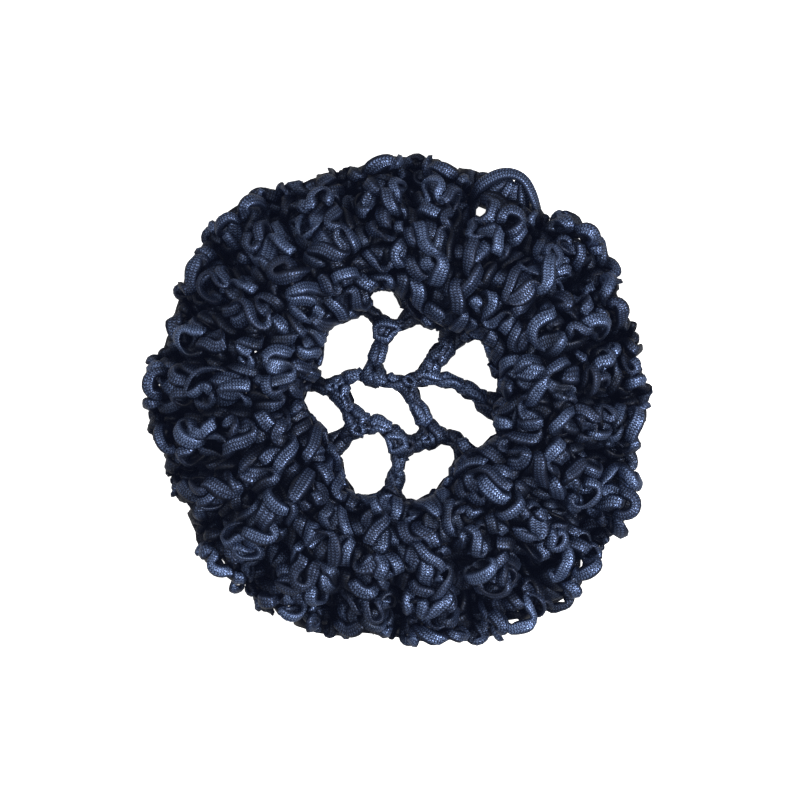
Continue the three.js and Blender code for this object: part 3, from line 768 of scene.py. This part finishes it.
def settle(paths, rounds):
    data, before, after, owner = gather(paths)

    def perPoint(key, value):
        return np.concatenate([np.full((len(path["points"]), 1), path.get(key, value)) for path in paths])

    firm = perPoint("firm", settling["firm"])
    loose = perPoint("loose", 0.0)
    inFrill = firm[:, 0] < 0.1
    home = data[:, :3].copy()
    place = home.copy()
    face = data[:, 3:6]
    rest = norm(place[after] - place, True)
    total = len(place)
    halfWidth = data[:, widthAt] / 2
    halfThick = tape["thickness"] / 2
    for turn in range(rounds):
        along, flat, across = framesOf(place, face, before, after)
        if turn % settling["searchEvery"] == 0:
            i, j = nearPairs(place, owner, tape["width"] + 0.3)
        gap = place[j] - place[i]
        dist = np.maximum(norm(gap), 1e-6)
        way = gap / dist[:, None]
        need = np.zeros(len(i))
        for k in (i, j):
            out = np.sum(way * flat[k], axis=1) * halfThick
            sideways = np.sum(way * across[k], axis=1) * halfWidth[k] * settling["widthKept"]
            need += np.sqrt(out * out + sideways * sideways)
        over = np.clip(need * settling["press"] - dist, 0, settling["mostOverlap"])
        push = way * (over * settling["push"])[:, None]
        move = np.stack([
            np.bincount(j, push[:, k], total) - np.bincount(i, push[:, k], total) for k in range(3)
        ], axis=1)
        size = np.maximum(norm(move, True), 1e-6)
        place = place + move * np.minimum(1, settling["mostMove"] / size)
        place = place + settling["smooth"] * ((place[before] + place[after]) / 2 - place)
        for _ in range(2):
            link = place[after] - place
            length = np.maximum(norm(link, True), 1e-6)
            pull = link * (settling["pull"] * (length - rest) / length)
            place = place + pull
            np.add.at(place, after, -pull)
        place = place + firm * (home - place)
        clearHoles(place, across, flat, halfWidth, inFrill)
        place[:, 2] = np.maximum(place[:, 2], halfThick + 0.9 * halfWidth * np.abs(across[:, 2]))
    for _ in range(settling["bends"]):
        toMiddle = (place[before] + place[after]) / 2 - place
        sharp = norm(toMiddle, True) / tape["step"]
        ease = np.clip((sharp - settling["freeBend"]) * settling["bendGain"], 0.05, 0.6)
        place = place + loose * ease * toMiddle
        clearHoles(place, across, flat, halfWidth, inFrill)
    for path in paths:
        path["points"][:, :3] = place[path["part"]]
    report("settled", total, "points,", len(i), "near pairs,")


paintedPitShade = {  # painted shade: how dark a place gets under other tape, and below its neighbours
    "reach": 4.6, "coverFree": 0.75, "coverDark": 1.0, "deepFree": 0.8, "deepDark": 0.55, "beside": 1.8,
}


def measurePaintedShade(paths):   # painted shade from how little tape lies over each place, 1 in the open and near 0 in a pit
    data, before, after, owner = gather(paths)
    place = data[:, :3]
    out = unit(data[:, normalAt])
    i, j = nearPairs(place, owner, paintedPitShade["reach"], 2)
    gap = place[j] - place[i]
    dist = norm(gap) + 1e-6
    weight = 1 / (1 + 0.25 * dist * dist)
    over = np.clip(np.sum(gap * out[i], axis=1) / dist - 0.3, 0, 1) * weight
    under = np.clip(-np.sum(gap * out[j], axis=1) / dist - 0.3, 0, 1) * weight
    cover = np.bincount(i, over, len(place)) + np.bincount(j, under, len(place))
    deep = np.zeros(len(place))   # how far each place lies below its neighbours
    for here, rise in ((i, np.sum(gap * out[i], axis=1)), (j, -np.sum(gap * out[j], axis=1))):
        beside = np.sqrt(np.maximum(0, dist ** 2 - rise ** 2))
        np.maximum.at(deep, here, rise * np.clip(2 - beside / paintedPitShade["beside"], 0, 1))
    cover = soften(cover, before, after, 2)
    deep = soften(deep, before, after, 2)
    hidden = np.maximum(0, cover - paintedPitShade["coverFree"]) * paintedPitShade["coverDark"]
    sunk = np.maximum(0, deep - paintedPitShade["deepFree"]) * paintedPitShade["deepDark"]
    for path in paths:
        part = path["part"]
        # painted shade: the colour is darkened by cover and depth, scaled by the path's shade gain and its
        # painted light level
        path["open"] = path.get("tone", 1.0) * np.exp(-hidden[part] * path.get("paintedShadeGain", 1.0) - sunk[part])
    print("openness measured, mean", round(float(np.exp(-hidden - sunk).mean()), 2))


allPaths = innerPaths + outerPaths + netPaths + bandPaths
settle(allPaths, settling["rounds"])
measurePaintedShade(allPaths)


# Tape meshes

scene = bpy.context.scene
sectionAcross = np.array([-0.5, -0.3, 0.3, 0.5, 0.3, -0.3])
sectionOut = np.array([0.0, 0.5, 0.5, 0.0, -0.5, -0.5])


def tapeSkin(path):  # the points of the tape round one path, with its corners' texture places
    data = path["points"]
    before, after = neighbours(path)
    place = data[:, :3]
    face = softenFace(unit(data[:, 3:6]), before, after, 2)
    bend = unit(place[after] - place) - unit(place - place[before])
    for _ in range(3):   # the tape rolls over until it bends the easy way
        side = np.sign(np.sum(face * bend, axis=1, keepdims=True))
        face = softenFace(unit(face + tape["roll"] * side * bend), before, after, 1)
    along, face, across = framesOf(place, face, before, after)
    turning = soften(np.abs(np.sum(bend * across, axis=1)), before, after, 2)
    bent = soften(norm(bend), before, after, 2)
    bunched = tape["fullWidth"] - tape["perBend"] * bent - tape["perTurn"] * turning ** 2
    bunched = np.clip(bunched, tape["narrowest"], tape["widest"])
    twist = data[:, twistAt:twistAt + 1]
    turned = across * np.cos(twist) - face * np.sin(twist)
    face = face * np.cos(twist) + across * np.sin(twist)
    span = soften(turned * (data[:, widthAt] * bunched)[:, None], before, after, 3)
    face = softenFace(face, before, after, 3)
    thick = tape["thickness"] * (1.5 - 0.5 * bunched)[:, None]
    out = sectionOut * thick - tape["curl"] * (2 * sectionAcross) ** 2
    skin = place[:, None] + span[:, None] * sectionAcross[None, :, None] + face[:, None] * out[:, :, None]
    skin[:, :, 2] += np.maximum(0, tape["offTable"] - skin[:, :, 2].min(axis=1, keepdims=True))
    links = norm(place[after] - place)
    return skin, sectionAcross * tape["width"], np.concatenate([[0], np.cumsum(links)])


def addObject(name, data):
    obj = bpy.data.objects.new(name, data)
    scene.collection.objects.link(obj)
    return obj


def tapeObject(name, paths):
    points, quads, ends, uvs, shades, opens = ([] for _ in range(6))
    start = 0
    sides = len(sectionAcross)
    for path in paths:
        skin, b, lengths = tapeSkin(path)
        n = len(skin)
        runs = n if path["closed"] else n - 1
        i = np.arange(runs)[:, None]
        k = np.arange(sides)[None, :]
        i2 = (i + 1) % n
        k2 = (k + 1) % sides
        quad = np.stack([i * sides + k, i * sides + k2, i2 * sides + k2, i2 * sides + k], axis=-1)
        quads.append(quad.reshape(-1, 4) + start)
        turns = [(k, i), (k2, i), (k2, i + 1), (k, i + 1)]
        uv = [np.stack(np.broadcast_arrays(b[side], lengths[at]), -1) for side, at in turns]
        uvs.append(np.stack(uv, axis=2).reshape(-1, 2))
        points.append(skin.reshape(-1, 3))
        shades.append(np.repeat(path["points"][:, shadeAt], sides))
        opens.append(np.repeat(path["open"], sides))
        if not path["closed"]:
            ends.append(start + np.arange(sides)[::-1])
            ends.append(start + (n - 1) * sides + np.arange(sides))
        start += n * sides
    points = np.concatenate(points) * mm
    quads = np.concatenate(quads)
    corners = np.concatenate([quads.ravel()] + ends)
    first = np.concatenate([np.arange(0, quads.size, 4), quads.size + sides * np.arange(len(ends))])
    mesh = bpy.data.meshes.new(name)
    mesh.vertices.add(len(points))
    mesh.vertices.foreach_set("co", points.astype(np.float32).ravel())
    mesh.loops.add(len(corners))
    mesh.loops.foreach_set("vertex_index", corners.astype(np.int32))
    mesh.polygons.add(len(first))
    mesh.polygons.foreach_set("loop_start", first.astype(np.int32))
    mesh.polygons.foreach_set("use_smooth", np.ones(len(first), bool))
    mesh.update(calc_edges=True)
    uvLayer = mesh.uv_layers.new(name="tapeUV")
    uvs.append(np.zeros((len(corners) - quads.size, 2)))
    uvLayer.data.foreach_set("uv", np.concatenate(uvs).astype(np.float32).ravel())
    for title, values in (("shade", shades), ("open", opens)):
        layer = mesh.attributes.new(title, "FLOAT", "POINT")
        layer.data.foreach_set("value", np.concatenate(values).astype(np.float32))
    mesh.validate()
    print(name, len(quads) * 2, "triangles")
    return addObject(name, mesh)


# Materials

def setInputs(node, inputs):  # links a socket, and sets anything else as a value
    for title, value in inputs.items():
        if isinstance(value, bpy.types.NodeSocket):
            node.id_data.links.new(value, node.inputs[title])
        else:
            node.inputs[title].default_value = value


def addNode(tree, kind, inputs, **settings):
    node = tree.nodes.new("ShaderNode" + kind)
    for title, value in settings.items():
        setattr(node, title, value)
    setInputs(node, inputs)
    return node


def mathNode(tree, operation, *values):
    return addNode(tree, "Math", dict(enumerate(values)), operation=operation).outputs[0]


def buildKnitWeave():  # slanted rows of small stitches between wales, and beaded edges
    group = bpy.data.node_groups.new("knitWeave", "ShaderNodeTree")
    group.interface.new_socket("Place", in_out="INPUT", socket_type="NodeSocketVector")
    for title in ("Wale Width", "Course Length", "Slant", "Half Width", "Edge From", "Edge To"):
        group.interface.new_socket(title, in_out="INPUT", socket_type="NodeSocketFloat")
    for title in ("Height", "Edge"):
        group.interface.new_socket(title, in_out="OUTPUT", socket_type="NodeSocketFloat")
    given = group.nodes.new("NodeGroupInput").outputs

    def sums(*values):
        return mathNode(group, *values)

    split = addNode(group, "SeparateXYZ", {0: given["Place"]}).outputs
    wobble = addNode(group, "TexNoise", {"Vector": given["Place"], "Scale": 0.9, "Detail": 2.0})
    drift = sums("MULTIPLY_ADD", wobble.outputs["Fac"], 0.7, -0.35)
    wales = sums("DIVIDE", split["X"], given["Wale Width"])
    share = sums("FRACT", sums("ADD", wales, 0.5))
    ridge = sums("MULTIPLY", sums("ABSOLUTE", sums("SUBTRACT", share, 0.5)), 2.0)
    courses = sums("DIVIDE", sums("ADD", split["Y"], drift), given["Course Length"])
    slanted = sums("MULTIPLY_ADD", ridge, given["Slant"], courses)
    wave = sums("SINE", sums("MULTIPLY", slanted, 2 * np.pi))
    thread = sums("MULTIPLY_ADD", wave, 0.5, 0.5)
    groove = sums("SUBTRACT", 1.0, sums("POWER", ridge, 3.0))
    body = sums("MULTIPLY", thread, sums("MULTIPLY_ADD", groove, 0.75, 0.25))
    beadWave = sums("SINE", sums("MULTIPLY", courses, 2 * np.pi))
    bead = sums("MULTIPLY_ADD", beadWave, 0.3, 0.45)
    edge = addNode(group, "MapRange", {
        "Value": sums("DIVIDE", sums("ABSOLUTE", split["X"]), given["Half Width"]),
        "From Min": given["Edge From"], "From Max": given["Edge To"],
    }, interpolation_type="SMOOTHSTEP").outputs[0]
    height = addNode(group, "Mix", {"Factor": edge, "A": body, "B": bead}).outputs["Result"]
    setInputs(group.nodes.new("NodeGroupOutput"), {"Height": height, "Edge": edge})
    return group


knitWeave = buildKnitWeave()


def tapeMaterial(name, look):
    material = bpy.data.materials.new(name)
    material.use_nodes = True
    tree = material.node_tree

    def sums(*values):
        return mathNode(tree, *values)

    uv = addNode(tree, "UVMap", {}, uv_map="tapeUV").outputs["UV"]
    weave = addNode(tree, "Group", {}, node_tree=knitWeave)
    setInputs(weave, {"Place": uv, **look["weave"]})
    shade = addNode(tree, "Attribute", {}, attribute_name="shade").outputs["Fac"]
    openness = addNode(tree, "Attribute", {}, attribute_name="open").outputs["Fac"]
    grain = addNode(tree, "TexNoise", {"Vector": uv, "Scale": look["grainScale"], "Detail": 4.0})
    spread = sums("MULTIPLY_ADD", shade, look["shadeSpread"], -look["shadeSpread"] / 2)
    mottle = sums("MULTIPLY_ADD", grain.outputs["Fac"], look["mottle"], -look["mottle"] / 2)
    tone = sums("ADD", weave.outputs["Height"], sums("ADD", spread, mottle))
    ramp = addNode(tree, "ValToRGB", {"Fac": tone})
    ramp.color_ramp.elements.new(0.45)
    for stop, (position, colour) in zip(ramp.color_ramp.elements, look["ramp"]):
        stop.position = position
        stop.color = (*colour, 1)
    # painted shade: the colour falls towards the deepest level where tape lies under other tape or sunk in a
    # pit
    light = sums("MULTIPLY_ADD", openness, 1 - look["deepestPaintedShade"], look["deepestPaintedShade"])
    # painted shade along both edges of the tape, where they roll away from the light
    rim = sums("MULTIPLY_ADD", weave.outputs["Edge"], -look["paintedEdgeShade"], 1.0)
    bump = addNode(tree, "Bump", {
        "Strength": look["bump"], "Distance": look["threadHeight"] * mm, "Height": weave.outputs["Height"],
    })
    dim = addNode(tree, "VectorMath", {
        0: ramp.outputs["Color"], "Scale": sums("MULTIPLY", light, rim),
    }, operation="SCALE")
    setInputs(tree.nodes["Principled BSDF"], {
        "Base Color": dim.outputs[0],
        "Roughness": sums("MULTIPLY_ADD", weave.outputs["Height"], -0.2, look["roughness"]),
        "Normal": bump.outputs["Normal"],
        "Specular IOR Level": look["specular"],
        "Metallic": look["metallic"],
        # a faint painted glow over all the tape, which lifts its deepest shade
        "Emission Color": (*look["paintedGlow"], 1),
        "Emission Strength": 1.0,
    })
    return material


navy = {
    "ramp": [  # from the gaps between threads to their tops: the knit pattern is the tape's own, the darkness of its gaps painted shade
        (0.05, (0.011, 0.0158, 0.0325)), (0.45, (0.029, 0.042, 0.088)), (1.0, (0.155, 0.222, 0.4)),
    ],
    # the photo's darkest places aren't quite black
    "paintedGlow": (0.0026, 0.0034, 0.0076),   # a faint painted glow, so that the darkest places aren't quite black
    "deepestPaintedShade": 0.1, "paintedEdgeShade": 0.62, "shadeSpread": 0.5, "mottle": 0.5, "grainScale": 1.6,
    "roughness": 0.5, "specular": 0.4, "metallic": 0.7, "bump": 0.42, "threadHeight": 0.16,
    "weave": {"Wale Width": 0.85, "Course Length": 0.66, "Slant": 0.6, "Half Width": 1.75,
              "Edge From": 0.64, "Edge To": 0.94},
}
frillMaterial = tapeMaterial("navyFrillTape", navy)
chainMaterial = tapeMaterial("navyChainTape", navy)
bandMaterial = tapeMaterial("navyBandTape", navy)

pieces = [
    ("inner_frill_tape", innerPaths, "inner_frill", "frill_tape", frillMaterial),
    ("outer_frill_tape", outerPaths, "outer_frill", "frill_tape", frillMaterial),
    ("crown_net_chains", netPaths, "crown_net", "chain_tape", chainMaterial),
    ("rim_band_wraps", bandPaths, "rim_band", "band_tape", bandMaterial),
]
for name, paths, node, slotName, material in pieces:
    piece = tapeObject(name, paths)
    piece.data.materials.append(material)
    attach(piece, "root")
    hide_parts(node)
report("pieces made")


# Studio: a pale floor, soft light and a camera straight above

studio = {
    "floorHalf": 1.5,
    "keyLight": {"place": (0.75, -0.2, 0.8), "size": 0.35, "power": 14.0},
    "fillLight": {"place": (-0.45, 0.3, 0.95), "size": 1.2, "power": 7.5},
    "sky": 0.36,
}
floorMesh = bpy.data.meshes.new("studio_floor")
half = studio["floorHalf"]
corners = [(-half, -half, 0), (half, -half, 0), (half, half, 0), (-half, half, 0)]
floorMesh.from_pydata(corners, [], [(0, 1, 2, 3)])
floor = addObject("studio_floor", floorMesh)
floorMaterial = bpy.data.materials.new("palePaper")
floorMaterial.use_nodes = True
setInputs(floorMaterial.node_tree.nodes["Principled BSDF"], {
    "Base Color": (0.9, 0.9, 0.9, 1), "Roughness": 0.9,
    "Emission Color": (1, 1, 1, 1), "Emission Strength": 1.0,
})
floorMesh.materials.append(floorMaterial)
floor.visible_diffuse = False   # the tape's undersides stay dark, as in the photo
floor.visible_glossy = False

photo = {"side": 800, "mmPerPixel": 0.2283, "centreX": 395.5, "centreY": 399.0}
camera = {"distance": 0.9, "sensor": 36.0, "planeHeight": 14 * mm}
pixel = photo["mmPerPixel"] * mm
view = photo["side"] * pixel
cameraData = bpy.data.cameras.new("camera")
cameraData.sensor_width = camera["sensor"]
cameraData.sensor_fit = "HORIZONTAL"
cameraData.lens = camera["sensor"] * camera["distance"] / view
cameraData.clip_end = 10.0
cameraObject = addObject("camera", cameraData)
cameraObject.location = (
    (photo["side"] / 2 - photo["centreX"]) * pixel,
    -(photo["side"] / 2 - photo["centreY"]) * pixel,
    camera["planeHeight"] + camera["distance"],
)
scene.camera = cameraObject


def areaLight(name, place, size, power):
    data = bpy.data.lights.new(name, "AREA")
    data.shape = "SQUARE"
    data.size = size
    data.energy = power
    light = addObject(name, data)
    light.location = place
    light.rotation_euler = (-Vector(place)).to_track_quat("-Z", "Y").to_euler()


for name in ("keyLight", "fillLight"):
    areaLight(name, **studio[name])
world = bpy.data.worlds.new("studioWorld")
world.use_nodes = True
setInputs(world.node_tree.nodes["Background"], {"Color": (1, 1, 1, 1), "Strength": studio["sky"]})
scene.world = world
scene.view_settings.view_transform = "Standard"

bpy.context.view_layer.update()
report("done")
